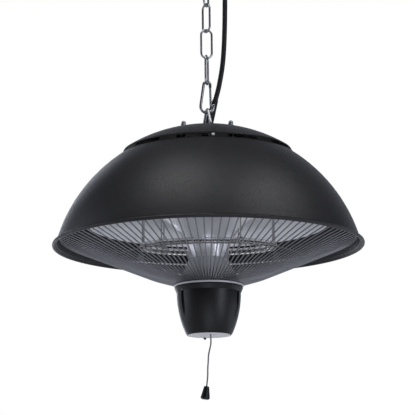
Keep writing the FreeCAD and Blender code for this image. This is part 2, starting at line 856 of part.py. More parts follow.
def hanger_bracket():
    """A strap bent over the tie tube, which takes the eye's load down to the plate."""
    high = bracket_top.value
    low = ledge_under.value
    wall = n.bracket_wall
    half = n.bracket_span / 2
    outline = [
        (half + n.bracket_foot, low),
        (half + n.bracket_foot, low + wall),
        (half, low + wall),
        (half, high),
        (-half, high),
        (-half, low + wall),
        (-half - n.bracket_foot, low + wall),
        (-half - n.bracket_foot, low),
        (-half + wall, low),
        (-half + wall, high - wall),
        (half - wall, high - wall),
        (half - wall, low),
    ]
    corners = [V(x, -n.bracket_width / 2, z) for x, z in outline + outline[:1]]
    strap = Part.Face(Part.makePolygon(corners)).extrude(ALONG_Y * n.bracket_width)
    for x, y in eye_legs:
        at = V(x.value, y.value, 0)
        strap = strap.cut(cylinder(n.eye_wire / 2 + n.hole_gap, high - wall, high, at))
    screws = []
    for side in (-1, 1):
        at = V(bracket_screw_x.value * side, 0, 0)
        radius = n.bracket_screw_diameter / 2
        strap = strap.cut(cylinder(radius + n.hole_gap, low, low + wall, at))
        shank_low = plate_under.value - n.bracket_screw_diameter
        shank = cylinder(radius, shank_low, low + wall, at)
        head = cylinder(radius * 1.8, low + wall, low + wall + radius * 1.4, at)
        nut = hexagon(n.eye_nut_width, shank_low, plate_under.value, radius - n.seat_gap, at)
        screws.append(shank.fuse(head).fuse(nut).removeSplitter())
    feature("hanger_bracket", strap)
    feature("bracket_screws", Part.makeCompound(screws))


def tie_tube():
    """The threaded tube through the heater, its two nuts and the spacers between its sheets."""
    radius = n.tube_diameter / 2
    high = ledge_under.value
    low = cover_under.value
    top = high + n.tube_nut_height + n.tube_end
    bottom = low - n.tube_nut_height - n.tube_end
    tube = cylinder(radius, bottom, top).cut(cylinder(n.tube_bore / 2, bottom, top))
    feature("tie_tube", tube)
    bore = radius + n.seat_gap
    nuts = [
        hexagon(n.tube_nut_width, high, high + n.tube_nut_height, bore),
        hexagon(n.tube_nut_width, low - n.tube_nut_height, low, bore),
    ]
    feature("tube_nuts", Part.makeCompound(nuts))
    spans = (
        (neck_seam.value + n.sheet_wall, plate_under.value),
        (cover_top.value, neck_seam.value - n.sheet_wall),
    )
    hollow = radius + n.hole_gap
    spacers = [
        cylinder(n.spacer_diameter / 2, a, b).cut(cylinder(hollow, a, b)) for a, b in spans
    ]
    feature("tube_spacers", Part.makeCompound(spacers))


def reflector():
    """The spun aluminium ring dish: a waisted neck that flares into a trough over the element."""
    hub = (d.neck_radius + d.hub_curve, neck_seam)
    dish = (hub[0], neck_seam + d.hub_curve - d.dish_curve)
    outer = d.dish_curve + d.sheet_wall
    reach = d.reflector_radius - hub[0]
    flange_top = neck_seam + d.sheet_wall
    turned(
        "reflector",
        [
            (d.flange_bore / 2, neck_seam),
            (d.neck_radius, neck_seam),
            (hub[0], neck_seam + d.hub_curve, hub, "x"),
            (d.reflector_radius, dish[1] + leg(d.dish_curve, reach), dish, "x"),
            (d.reflector_radius, dish[1] + leg(outer, reach)),
            (hub[0], dish[1] + outer, dish, "x"),
            (hub[0] - leg(d.hub_curve + d.sheet_wall, d.sheet_wall), flange_top, hub, "y"),
            (d.flange_bore / 2, flange_top),
        ],
    )


def trumpet_skirt():
    """The lower sheet cone that flares from the neck down to the switch housing's cover."""
    hem_top = cover_top + d.skirt_hem
    top = neck_seam - d.sheet_wall
    fall = top - hem_top
    spread = d.skirt_radius - d.neck_radius
    chord = (fall * fall + spread * spread).root()
    height = leg(d.skirt_flare, chord / 2)
    centre = (
        (d.neck_radius + d.skirt_radius) / 2 + fall / chord * height,
        (top + hem_top) / 2 + spread / chord * height,
    )
    inner = d.skirt_flare + d.sheet_wall
    inner_top = centre[0] - leg(inner, centre[1] - top)
    inner_hem = centre[0] - leg(inner, centre[1] - hem_top)
    turned(
        "trumpet_skirt",
        [
            (d.flange_bore / 2, neck_seam),
            (d.neck_radius, neck_seam),
            (d.neck_radius, top),
            (d.skirt_radius, hem_top, centre, "y"),
            (d.skirt_radius, cover_top),
            (inner_hem, cover_top),
            (inner_hem, hem_top),
            (inner_top, top, centre, "y"),
            (d.flange_bore / 2, top),
        ],
    )


def ring_arc(pipe_radius, start, span):
    """A piece of the element's ring, from a bearing on, as a bent bar in the ring's plane."""
    arc = Part.makeTorus(n.element_radius, pipe_radius, V(0, 0, 0), UP, 0, 360, span)
    arc.rotate(V(0, 0, 0), UP, start - 90)
    arc.rotate(V(0, 0, 0), ALONG_X, n.element_tilt)
    arc.translate(-UP * n.element_drop)
    return arc


def trough_height(radius):
    """The height of the reflector's underside over the element."""
    hub_radius = n.neck_radius + n.hub_curve
    if radius <= hub_radius:
        return -n.neck_drop + math.sqrt(n.hub_curve**2 - (hub_radius - radius) ** 2)
    drop = n.dish_curve - math.sqrt(n.dish_curve**2 - (radius - hub_radius) ** 2)
    return -n.neck_drop + n.hub_curve - drop


def heating_element():
    """Two half rings of quartz tube with a filament each, a little lower at the front, with their
    end caps, end brackets and hangers."""
    cap_slant = n.end_cap_diameter / 2 * math.sin(math.radians(n.element_tilt))
    cap_gap = n.end_bracket_wall / 2 + cap_slant + n.seat_gap
    cap_start = math.degrees(cap_gap / n.element_radius)
    cap_span = math.degrees(n.end_cap_length / n.element_radius)
    tube_start = cap_start + cap_span
    tube_span = 180 - 2 * tube_start
    tubes = []
    filaments = []
    caps = []
    for end in (-90, 90):
        glass = ring_arc(n.quartz_diameter / 2, end + tube_start, tube_span)
        hollow = ring_arc(n.quartz_diameter / 2 - n.quartz_wall, end + tube_start, tube_span)
        tubes.append(glass.cut(hollow))
        filaments.append(ring_arc(n.filament_diameter / 2, end + tube_start, tube_span))
        caps.append(ring_arc(n.end_cap_diameter / 2, end + cap_start, cap_span))
        caps.append(ring_arc(n.end_cap_diameter / 2, end + tube_start + tube_span, cap_span))
    feature("quartz_tubes", Part.makeCompound(tubes))
    feature("filaments", Part.makeCompound(filaments))
    feature("tube_end_caps", Part.makeCompound(caps))

    wall = n.end_bracket_wall
    inside = n.element_radius - n.end_bracket_width / 2 + 1
    top = trough_height(inside) - n.seat_gap
    low = -n.element_drop - n.end_cap_diameter / 2
    brackets = []
    for side in (0, 180):
        corner = V(inside, -wall / 2, low)
        bracket = Part.makeBox(n.end_bracket_width, wall, top - low, corner)
        bracket.rotate(V(0, 0, 0), UP, side)
        brackets.append(bracket)
    feature("end_brackets", Part.makeCompound(brackets))

    wire = n.hanger_wire / 2
    loop = n.quartz_diameter / 2 + wire + n.seat_gap
    tilted = FreeCAD.Rotation(ALONG_X, n.element_tilt)
    hangers = []
    for bearing in HANGER_BEARINGS:
        on_ring = spot(n.element_radius, bearing)
        middle = tilted.multVec(on_ring) - UP * n.element_drop
        along = tilted.multVec(V(on_ring.y, -on_ring.x, 0))
        ring = Part.makeTorus(loop, wire, middle, along)
        crown = trough_height(math.hypot(middle.x, middle.y)) - n.seat_gap
        rod = cylinder(wire, middle.z + loop, crown, V(middle.x, middle.y, 0))
        hangers.append(ring.fuse(rod).removeSplitter())
    feature("tube_hangers", Part.makeCompound(hangers))


def torus_node(label, radius, wire, level):
    ring = doc.addObject("Part::Torus", label)
    ring.setExpression("Radius1", radius.text)
    ring.setExpression("Radius2", (wire / 2).text)
    place(ring, level)
    keep(ring, label)


outer_ring_radius = (
    leg(d.shade_curve - d.shade_wall, d.outer_ring_height + d.shade_centre)
    - d.outer_ring_wire / 2
    - d.outer_ring_gap
)


def grille():
    """Bent wires from the outer ring to the foot ring, with the middle ring on them, and clips."""
    foot_level = cover_step.value + n.foot_ring_wire / 2
    wire = n.grille_wire / 2
    outer_ring = V(outer_ring_radius.value, 0, n.outer_ring_height)
    foot_ring = V(n.foot_ring_radius, 0, foot_level)
    bend = V(n.wire_bend_radius, 0, -n.wire_bend_drop)

    def run(low, high, aside):
        """The heading of a straight run, which passes one end a given distance aside."""
        way = high - low
        angle = math.atan2(way.z, way.x) - math.asin(aside / way.Length)
        return V(math.cos(angle), 0, math.sin(angle)), V(-math.sin(angle), 0, math.cos(angle))

    # The wires pass under the outer ring and over the foot ring, a wire's width from each.
    under = n.outer_ring_wire / 2 + wire + n.seat_gap
    over = n.foot_ring_wire / 2 + wire + n.seat_gap
    inward, inward_square = run(foot_ring, bend, over)
    outward, outward_square = run(bend, outer_ring, under)
    foot_end = foot_ring + inward_square * over - inward * n.wire_overhang
    outer_end = outer_ring - outward_square * under + outward * n.wire_overhang
    arc_low = bend - inward * n.wire_bend_reach
    arc_high = bend + outward * n.wire_bend_reach
    edges = [
        Part.LineSegment(foot_end, arc_low).toShape(),
        arc_edge(arc_low, bend, arc_high),
        Part.LineSegment(arc_high, outer_end).toShape(),
    ]
    bar = swept(edges, wire)
    bars = []
    for index in range(GRILLE_WIRES):
        turned_bar = bar.copy()
        turned_bar.rotate(V(0, 0, 0), UP, (index + 0.5) * 360 / GRILLE_WIRES)
        bars.append(turned_bar)
    feature("grille_wires", Part.makeCompound(bars))
    torus_node("grille_outer_ring", outer_ring_radius, d.outer_ring_wire, rim + d.outer_ring_height)
    torus_node("grille_foot_ring", d.foot_ring_radius, d.foot_ring_wire, rim + foot_level)
    on_wire = bend.z + (n.mid_ring_radius - bend.x) * outward.z / outward.x
    mid_over = (n.mid_ring_wire / 2 + wire + n.seat_gap) / outward.x
    torus_node("grille_mid_ring", d.mid_ring_radius, d.mid_ring_wire, rim + (on_wire + mid_over))

    # Each clip is a bent strip that stands on the outer ring and reaches up the shade's inside.
    inner = n.shade_curve - n.shade_wall - n.seat_gap
    ring_top = n.outer_ring_height + n.outer_ring_wire / 2 + n.seat_gap
    clip_top = ring_top + n.clip_width
    seat_radius = math.sqrt(inner**2 - (clip_top + n.shade_centre) ** 2)
    outline = [
        (seat_radius - n.clip_wall, clip_top),
        (seat_radius, clip_top),
        (seat_radius, ring_top + n.clip_wall),
        (outer_ring.x, ring_top + n.clip_wall),
        (outer_ring.x, ring_top),
        (seat_radius - n.clip_wall, ring_top),
    ]
    corners = [V(x, -n.clip_width / 2, z) for x, z in outline + outline[:1]]
    strip = Part.Face(Part.makePolygon(corners)).extrude(ALONG_Y * n.clip_width)
    limit = Part.makeSphere(inner, V(0, 0, -n.shade_centre))
    clip = strip.common(limit)
    clips = []
    for index in range(GRILLE_CLIPS):
        copied = clip.copy()
        copied.rotate(V(0, 0, 0), UP, index * 360 / GRILLE_CLIPS)
        clips.append(copied)
    feature("grille_clips", Part.makeCompound(clips))


groove_places = [
    polar(d.groove_circle_radius, n.groove_bearing + step * 360 / GROOVES) for step in range(GROOVES)
]
groove_top = cover_under - d.groove_start
disc_screw_place = polar((d.disc_ledge + d.disc_radius) / 2, n.disc_screw_bearing)


def housing():
    """The cover under the skirt, the moulded pot that hangs from it, and the pot's screws."""
    bore = d.tube_diameter / 2 + d.hole_gap
    cover_radius = d.foot_ring_radius - d.foot_ring_wire / 2 - d.hole_gap
    cover = turned(
        "housing_cover",
        [
            (bore, cover_under),
            (d.cover_flange_radius, cover_under),
            (d.cover_flange_radius, cover_step),
            (cover_radius, cover_step),
            (cover_radius, cover_top),
            (bore, cover_top),
        ],
    )
    pilot = d.housing_screw_diameter / 2 + d.seat_gap
    cut_holes(cover, "cover_holes", [(x, y, pilot) for x, y in groove_places])

    belly = (d.housing_body - d.housing_curve, housing_step)
    foot_top = housing_end + d.housing_foot
    foot_radius = belly[0] + leg(d.housing_curve, housing_step - foot_top)
    recess = d.disc_radius + d.hole_gap
    ledge_top = disc_top + d.disc_wall
    pot = turned(
        "switch_housing",
        [
            (d.housing_bore, cover_under),
            (d.housing_radius, cover_under),
            (d.housing_neck, housing_step),
            (d.housing_body, housing_step),
            (foot_radius, foot_top, belly, "y"),
            (recess + d.collar_step, housing_end),
            (recess, housing_end),
            (recess, disc_top),
            (d.disc_ledge, disc_top),
            (d.disc_ledge, ledge_top),
            (d.housing_bore - d.housing_foot, ledge_top + d.housing_height * 0.2),
            (d.housing_bore, ledge_top + d.housing_height * 0.5),
        ],
    )
    holes = [(x, y, d.groove_diameter / 2) for x, y in groove_places]
    cut_holes(pot, "screw_grooves", holes, groove_top, upward=False)
    shanks = [(x, y, d.housing_screw_diameter / 2 + d.hole_gap) for x, y in groove_places]
    cut_holes(pot, "screw_holes", shanks, groove_top, upward=True)
    x, y = disc_screw_place
    screw_hole = d.disc_screw_diameter / 2 + d.seat_gap
    cut_holes(pot, "disc_screw_hole", [(x, y, screw_hole)], housing_end, upward=True)
    screws = []
    for x, y in groove_places:
        at = V(x.value, y.value, 0)
        seat = groove_top.value - n.seat_gap
        head = cylinder(n.housing_screw_head / 2, seat - n.housing_screw_head * 0.4, seat, at)
        shank = cylinder(n.housing_screw_diameter / 2, seat, cover_top.value, at)
        screws.append(head.fuse(shank).removeSplitter())
    feature("housing_screws", Part.makeCompound(screws))


def bottom_disc():
    """The pale disc in the pot's foot, its screw and the bush that the cord comes out of."""
    disc = turned(
        "bottom_disc",
        [
            (ZERO, housing_end),
            (d.disc_radius, housing_end),
            (d.disc_radius, disc_top),
            (ZERO, disc_top),
        ],
    )
    x, y = disc_screw_place
    holes = [
        (d.cord_x, d.cord_y, d.bush_diameter / 2 + d.seat_gap),
        (x, y, d.disc_screw_diameter / 2 + d.seat_gap),
    ]
    cut_holes(disc, "disc_holes", holes, housing_end, upward=True)
    at = V(x.value, y.value, 0)
    low = housing_end.value
    radius = n.disc_screw_diameter / 2
    shank = cylinder(radius, low, disc_top.value + n.disc_wall, at)
    head = cylinder(radius * 1.7, low - radius, low, at)
    feature("disc_screw", head.fuse(shank).removeSplitter())

    exit_at = V(n.cord_x, n.cord_y, 0)
    sleeve = cylinder(n.bush_diameter / 2, low, disc_top.value, exit_at)
    lip = cylinder(n.bush_flange / 2, low - n.bush_lip, low, exit_at)
    bore = cylinder(n.bush_bore / 2, low - n.bush_lip, disc_top.value, exit_at)
    feature("cord_bush", sleeve.fuse(lip).cut(bore).removeSplitter())


def pull_switch():
    """The switch box under the cover, its sprung slider, the pull cord and its knob."""
    at = V(n.cord_x, n.cord_y, 0)
    high = cover_under.value
    low = high - n.switch_height
    chamber_top = high - n.switch_lid
    chamber_floor = low + n.switch_floor
    head = n.slider_diameter / 2
    stem = n.slider_stem / 2
    corner = V(n.cord_x - n.switch_width / 2, n.cord_y - n.switch_depth * 0.55, low)
    box = Part.makeBox(n.switch_width, n.switch_depth, n.switch_height, corner)
    box = box.cut(cylinder(head + n.slider_gap, chamber_floor, chamber_top, at))
    box = box.cut(cylinder(stem + n.slider_gap, low, chamber_floor, at))
    feature("pull_switch", box)

    head_top = chamber_top - n.joint_gap
    head_low = head_top - n.slider_head
    stem_low = low - n.stem_reach
    slider = cylinder(head, head_low, head_top, at).fuse(cylinder(stem, stem_low, head_low, at))
    feature("switch_slider", slider.removeSplitter())

    # The spring has plain straight ends along its coil's start and finish.
    coil = (head + stem) / 2
    bottom = chamber_floor + n.spring_wire
    climb = (head_low - n.spring_wire - bottom) / (SPRING_CURLS * 4)
    quarter = math.pi / 2
    slope = math.atan2(climb, coil * quarter)
    knots = []
    for step in range(SPRING_CURLS * 4 + 1):
        turn = step * quarter
        knot = at + V(coil * math.cos(turn), coil * math.sin(turn), bottom + climb * step)
        level = math.cos(slope)
        heading = V(-math.sin(turn) * level, math.cos(turn) * level, math.sin(slope))
        knots.append((knot, heading))
    edges = []
    for (a, going), (b, coming) in zip(knots, knots[1:]):
        edges += biarc(a, going, b, coming)
    feature("return_spring", swept(edges, n.spring_wire / 2))

    cord = n.pull_cord_diameter / 2
    exit_low = housing_end.value - n.bush_lip
    feature("cord_inner", cylinder(cord, exit_low + n.cord_break, stem_low, at))
    start = at + UP * exit_low
    points = [start] + [start + V(*offset) for offset in PULL_ROUTE]
    feature("pull_cord", soft_bar("pull cord", points, cord))
    end = points[-1]
    print("cord pivot", [round(value, 3) for value in start + UP * rim.value])

    half_top = d.knob_top / 2
    half_bottom = d.knob_bottom / 2
    shoulder = -d.knob_height + d.knob_round
    knob = turned(
        "pull_knob",
        [
            (ZERO, ZERO),
            (half_top, ZERO),
            (half_bottom, shoulder),
            (half_bottom - d.knob_round, -d.knob_height, (half_bottom - d.knob_round, shoulder), "x"),
            (ZERO, -d.knob_height),
        ],
    )
    lean = FreeCAD.Rotation(ALONG_Y, n.knob_lean)
    knob.Placement = FreeCAD.Placement(V(end.x, end.y, rim.value + end.z), lean)
    knob.setExpression("Placement.Base.z", (rim + end.z).text)


def cable_entry():
    """The gland on the cap, its nut inside, and the bend guard that leans with the cable."""
    at = V(n.gland_x, n.gland_y, 0)
    reach = math.hypot(n.gland_x, n.gland_y)
    flat_to = max(reach - n.gland_width / math.sqrt(3), 0)
    centre = cap_apex.value - n.cap_curve
    seat = centre + math.sqrt(n.cap_curve**2 - flat_to**2)
    thread = n.gland_thread / 2
    bore = n.cable_diameter / 2
    hex_top = seat + n.gland_hex
    dome_top = hex_top + n.gland_dome
    gland = hexagon(n.gland_width, seat, hex_top, bore, at)
    dome = cylinder(n.gland_width * 0.45, hex_top, dome_top, at)
    foot = cylinder(thread, seat - n.gland_thread_length, seat, at)
    gland = gland.fuse(dome).fuse(foot)
    gland = gland.cut(cylinder(bore, seat - n.gland_thread_length, dome_top, at))
    feature("cable_gland", gland.removeSplitter())
    far_corner = reach + n.gland_nut_width / math.sqrt(3)
    nut_top = centre + math.sqrt((n.cap_curve - n.cap_wall) ** 2 - far_corner**2) - n.seat_gap
    nut = hexagon(n.gland_nut_width, nut_top - n.gland_nut_height, nut_top, thread + n.seat_gap, at)
    feature("gland_nut", nut)

    lean = math.radians(n.boot_lean)
    lift = n.boot_base / 2 * math.sin(lean) + n.seat_gap
    axis = V(math.sin(lean), 0, math.cos(lean))
    foot_at = at + UP * (dome_top + lift)
    half_base = d.boot_base / 2
    half_tip = d.boot_tip / 2
    corners = [
        (ZERO, ZERO),
        (half_base, ZERO),
        (half_tip, d.boot_length),
        (ZERO, d.boot_length),
    ]
    boot = turned("strain_relief", corners)
    boot.Placement = FreeCAD.Placement(
        foot_at + UP * rim.value, FreeCAD.Rotation(ALONG_Y, n.boot_lean)
    )
    boot.setExpression("Placement.Base.z", (rim + foot_at.z).text)
    return foot_at + axis * n.boot_length


def coil_knots(start):
    """Places and headings along the put-away cable, a quarter turn apart, from its lowest start.

    Seen from the front it winds clockwise, spiralling in and out by turns, one layer further
    forward each time, and it moves on a layer in the half turn where the spiral reverses."""
    centre = start + V(n.coil_outer, 0, 0)
    per_layer = n.coil_turns / COIL_LAYERS
    rate = (n.coil_outer - n.coil_inner) / per_layer
    forward = -UP.cross(ALONG_X) * n.coil_layer

    def at(turn):
        phase = turn / per_layer
        whole = min(int(phase), COIL_LAYERS - 1)
        share = phase - whole
        inward = whole % 2 == 0
        radius = n.coil_outer - (share if inward else 1 - share) * rate * per_layer
        layer = 0.0
        for climb in range(1, COIL_LAYERS):
            part = (turn - (climb * per_layer - 0.25)) / 0.5
            part = min(max(part, 0), 1)
            layer += part * part * (3 - 2 * part)
        angle = math.pi - 2 * math.pi * turn
        return centre + V(math.cos(angle), 0, math.sin(angle)) * radius + forward * layer

    steps = round(n.coil_turns * 4)
    tiny = 1e-4
    knots = []
    for step in range(steps + 1):
        turn = step / 4
        before = at(max(turn - tiny, 0))
        after = at(min(turn + tiny, n.coil_turns))
        heading = unit(after - before)
        if step in (0, steps):
            heading = UP if step == 0 else -UP
        knots.append((at(turn), heading))
    return knots, [at(k / 48) for k in range(round(n.coil_turns * 48) + 1)]


def least_gap(points, apart):
    """The least clear distance between turns of the cable."""
    least = math.inf
    for i, point in enumerate(points):
        for other in points[i + apart :]:
            least = min(least, point.distanceToPoint(other))
    return least - n.cable_diameter


def cable(boot_tip):
    """The lead: its free stretch up beside the chain, the coil put away, its tie and its plug."""
    radius = n.cable_diameter / 2
    lean = math.radians(n.boot_lean)
    straight = V(math.sin(lean), 0, math.cos(lean)) * CABLE_ROUTE[0][2] / 2
    print("boot tip", [round(value, 3) for value in boot_tip])
    points = [boot_tip, boot_tip + straight]
    points += [boot_tip + V(*offset) for offset in CABLE_ROUTE]
    coil_start = points[-1] + V(0.1, 0.1, CABLE_ROUTE[-1][2] - CABLE_ROUTE[-2][2] - 4)
    points.append(coil_start)
    feature("power_cable", soft_bar("power cable", points, radius))

    first = coil_start + UP * n.cable_diameter
    knots, fine = coil_knots(first)
    edges = [Part.LineSegment(coil_start, first).toShape()]
    for (a, going), (b, coming) in zip(knots, knots[1:]):
        edges += biarc(a, going, b, coming)
    last = knots[-1][0]
    plug_top = last - UP * n.coil_tail
    edges.append(Part.LineSegment(last, plug_top).toShape())
    feature("cable_coil", swept(edges, radius))
    length = sum(edge.Length for edge in edges)
    print("coil length", round(length, 1), "least gap", round(least_gap(fine, 24), 2))

    # The tie goes round the coil's near side and one bar of the second link.
    link_level = link_levels[1].value - rim.value
    tie_level = first.z - n.tie_width / 2
    inside = (n.link_width - n.link_wire) / 2 - n.link_wire / 2 - n.joint_gap
    clear = radius + n.joint_gap
    right = first.x + n.coil_outer - n.coil_inner + clear + 0.5
    rear = first.y + clear
    front = first.y - (COIL_LAYERS - 1) * n.coil_layer - clear
    wall = n.tie_wall
    bend = n.tie_width / 2

    def loop(grow):
        low = V(inside - grow, front - grow, tie_level)
        loop_box = Part.makeBox(right - inside + 2 * grow, rear - front + 2 * grow, n.tie_width, low)
        upright = [e for e in loop_box.Edges if abs(e.tangentAt(e.FirstParameter).z) > 0.9]
        return loop_box.makeFillet(min(bend, 2 + grow), upright)

    feature("cable_tie", loop(wall).cut(loop(0)))
    print("tie over link middle by", round(tie_level + n.tie_width / 2 - link_level, 1))

    half = d.plug_diameter / 2
    half_neck = d.plug_neck_diameter / 2
    shoulder = d.plug_neck + d.plug_shoulder
    total = shoulder + d.plug_body
    plug = turned(
        "mains_plug",
        [
            (ZERO, ZERO),
            (d.cable_diameter * 0.75, ZERO),
            (half_neck, -d.plug_neck),
            (half, -shoulder),
            (half, -total),
            (ZERO, -total),
        ],
    )
    plug.Placement.Base = plug_top + UP * rim.value
    plug.setExpression("Placement.Base.z", (rim + plug_top.z).text)
    face = plug_top.z - total.value
    pins = [
        cylinder(n.pin_diameter / 2, face - n.pin_length, face, V(plug_top.x + side, plug_top.y, 0))
        for side in (-n.pin_spacing / 2, n.pin_spacing / 2)
    ]
    feature("plug_pins", Part.makeCompound(pins))
    print("plug face", [round(value, 3) for value in V(plug_top.x, plug_top.y, face + rim.value)])


def terminal_block():
    """The block on the plate where the lead is joined, with three screw wells."""
    low = ledge_under.value
    corner = V(-n.block_length / 2, n.block_place - n.block_width / 2, low)
    block = Part.makeBox(n.block_length, n.block_width, n.block_height, corner)
    for step in (-1, 0, 1):
        well = V(step * n.block_length * 0.3, n.block_place, 0)
        high = low + n.block_height
        block = block.cut(cylinder(n.block_width * 0.2, high - n.block_height * 0.3, high, well))
    feature("terminal_block", block)


ceiling_hook()
for link_index, link_turn in enumerate(LINK_TURNS):
    chain_link(link_index + 1, link_levels[link_index], link_turn)
carabiner()
hanging_eye()
top_cap()
cap_fixings()
vent_collar()
shade()
mounting_plate()
hanger_bracket()
tie_tube()
reflector()
trumpet_skirt()
heating_element()
grille()
housing()
bottom_disc()
pull_switch()
boot_end = cable_entry()
cable(boot_end)
terminal_block()

doc.recompute()
for item in doc.Objects:
    if "Invalid" in item.State or "Error" in item.State:
        raise ValueError(f"{item.Label} did not build: {item.State}")
os.makedirs("parts", exist_ok=True)
for piece in pieces:
    if piece.Shape.isNull() or not piece.Shape.isValid():
        raise ValueError(f"{piece.Label} has no valid shape")
    piece.Shape.exportStep(f"parts/{piece.Label}.step")
print("rim level", round(rim.value, 3), "pieces", len(pieces))
print("levels", [round(level.value, 3) for level in (hook_seat, link_levels[0] - half_link, bow_wire)])
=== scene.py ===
import math

import bmesh
import bpy
from mathutils import Matrix, Vector

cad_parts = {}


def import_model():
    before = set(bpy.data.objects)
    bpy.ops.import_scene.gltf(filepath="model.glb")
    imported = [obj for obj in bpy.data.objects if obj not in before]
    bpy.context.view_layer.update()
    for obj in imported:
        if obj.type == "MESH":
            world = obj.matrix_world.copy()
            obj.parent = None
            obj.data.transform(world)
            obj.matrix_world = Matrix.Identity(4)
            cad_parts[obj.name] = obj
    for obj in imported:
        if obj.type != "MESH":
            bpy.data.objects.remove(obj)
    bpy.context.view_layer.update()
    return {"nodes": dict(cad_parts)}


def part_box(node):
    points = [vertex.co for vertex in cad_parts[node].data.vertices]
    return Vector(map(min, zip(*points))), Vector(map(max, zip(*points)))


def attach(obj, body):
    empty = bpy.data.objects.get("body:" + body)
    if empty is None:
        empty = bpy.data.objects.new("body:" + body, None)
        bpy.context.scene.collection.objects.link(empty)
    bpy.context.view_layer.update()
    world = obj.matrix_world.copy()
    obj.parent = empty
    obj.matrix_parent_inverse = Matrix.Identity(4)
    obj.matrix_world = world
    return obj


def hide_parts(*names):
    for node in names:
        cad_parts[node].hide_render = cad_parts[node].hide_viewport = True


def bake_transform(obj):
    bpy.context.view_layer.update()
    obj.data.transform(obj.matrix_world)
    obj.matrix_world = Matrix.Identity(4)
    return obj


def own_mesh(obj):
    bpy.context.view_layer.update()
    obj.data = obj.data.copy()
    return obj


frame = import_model()
nodes = frame["nodes"]
scene = bpy.context.scene
scene.view_settings.view_transform = "Standard"

MM = 0.001
RIM_DROP = 0.003  # the rim's bead reaches this far below the rim plane


def lowest(name):
    node = nodes[name]
    return min((node.matrix_world @ vertex.co).z for vertex in node.data.vertices)


RIM = lowest("shade") + RIM_DROP


# Camera, at the photograph's angle: below the rim and looking up

SENSOR_WIDTH = 36  # in mm, like the lens
LENS = 142.4
CAMERA_SIDE = -0.0007
CAMERA_DISTANCE = 2.2
CAMERA_DROP = 0.412  # below the rim plane
CAMERA_PITCH = 11.95  # degrees up from level
CAMERA_ROLL = -0.55  # degrees


def photo_camera():
    data = bpy.data.cameras.new("camera")
    data.sensor_width = SENSOR_WIDTH
    data.lens = LENS
    camera = bpy.data.objects.new("camera", data)
    camera.location = (CAMERA_SIDE, -CAMERA_DISTANCE, RIM - CAMERA_DROP)
    pitch = Matrix.Rotation(math.radians(90 + CAMERA_PITCH), 3, "X")
    roll = Matrix.Rotation(math.radians(CAMERA_ROLL), 3, "Z")
    camera.rotation_euler = (pitch @ roll).to_euler()
    scene.collection.objects.link(camera)
    scene.camera = camera


photo_camera()


# Node trees

NOISE_SPAN = (0.3, 0.7)  # most of a noise lies between these
NOISE_DETAIL = 3.0


class Graph:
    """A hand for building a node tree."""

    def __init__(self, tree):
        self.tree = tree

    def feed(self, node, inputs):
        """Links each input to the socket given for it, or sets its value."""
        for key, value in inputs.items():
            if isinstance(value, bpy.types.NodeSocket):
                self.tree.links.new(value, node.inputs[key])
            else:
                node.inputs[key].default_value = value

    def add(self, kind, inputs=None, **settings):
        """A new node, with its inputs given by name or by number."""
        node = self.tree.nodes.new(kind)
        for key, value in settings.items():
            setattr(node, key, value)
        self.feed(node, inputs or {})
        return node

    def out(self, kind, *inputs, **settings):
        """The first output of a new node, with its inputs given in their order."""
        return self.add(kind, dict(enumerate(inputs)), **settings).outputs[0]

    def rays(self):
        return self.add("ShaderNodeLightPath").outputs

    def seen(self):
        """One for a ray from the camera, also through glass."""
        rays = self.rays()
        kinds = (rays["Is Camera Ray"], rays["Is Transmission Ray"])
        return self.out("ShaderNodeMath", *kinds, operation="MAXIMUM")


class Paint(Graph):
    """A hand for building a material around its Principled shader."""

    def __init__(self, name):
        self.material = bpy.data.materials.new(name)
        self.material.use_nodes = True
        super().__init__(self.material.node_tree)
        self.shader = self.tree.nodes["Principled BSDF"]
        self.place = self.add("ShaderNodeTexCoord").outputs["Object"]

    def cover(self, inputs):
        """Links or values for the shader's own sockets."""
        self.feed(self.shader, inputs)

    def noise(self, scale, detail=NOISE_DETAIL):
        inputs = {"Vector": self.place, "Scale": scale, "Detail": detail}
        return self.add("ShaderNodeTexNoise", inputs).outputs["Fac"]

    def spread(self, fac, low=0, high=1):
        """A number that follows a noise between two values."""
        return self.out("ShaderNodeMapRange", fac, *NOISE_SPAN, low, high)

    def shades(self, fac, dark, light):
        inputs = {"Factor": fac, "A": (*dark, 1), "B": (*light, 1)}
        return self.add("ShaderNodeMix", inputs, data_type="RGBA").outputs["Result"]

    def bump(self, height, strength, distance):
        inputs = {"Height": height, "Strength": strength, "Distance": distance}
        self.cover({"Normal": self.add("ShaderNodeBump", inputs).outputs[0]})


def bare_graph(owner):
    """A hand for a node tree that starts empty, of a world or a material."""
    owner.use_nodes = True
    owner.node_tree.nodes.clear()
    return Graph(owner.node_tree)


# Kinds of material. A relief is a bump's strength and depth, and shades are shares of a colour.

BLOTCH_DETAIL = 5
STREAKS_PER_BLOTCH = 6
STREAK_DETAIL = 4
GRAIN_DETAIL = 2

SPUN_BLOTCH = 9
SPUN_DETAIL = 4
SPUN_SHADES = (0.9, 1.08)
RING_WANDER = 0.4
RING_RELIEF = (0.06, 0.0002)

MILK_SCALE = 60
MILK_COLOURS = ((0.86, 0.86, 0.87), (0.95, 0.95, 0.95))
GLAZE_SCALE = 120
GLAZE_ROUGH = (0.01, 0.06)
QUARTZ_IOR = 1.46
QUARTZ_CLEAR = 0.97

YARN_LEAN = 38  # degrees
YARN_WANDER = 0.6
YARN_SHADES = (0.6, 1.25)
YARN_RELIEF = (0.5, 0.0003)
FUZZ_SCALE = 300
FUZZ_ROUGH = (0.7, 0.9)


def scaled(colour, factor):
    return tuple(min(value * factor, 1) for value in colour)


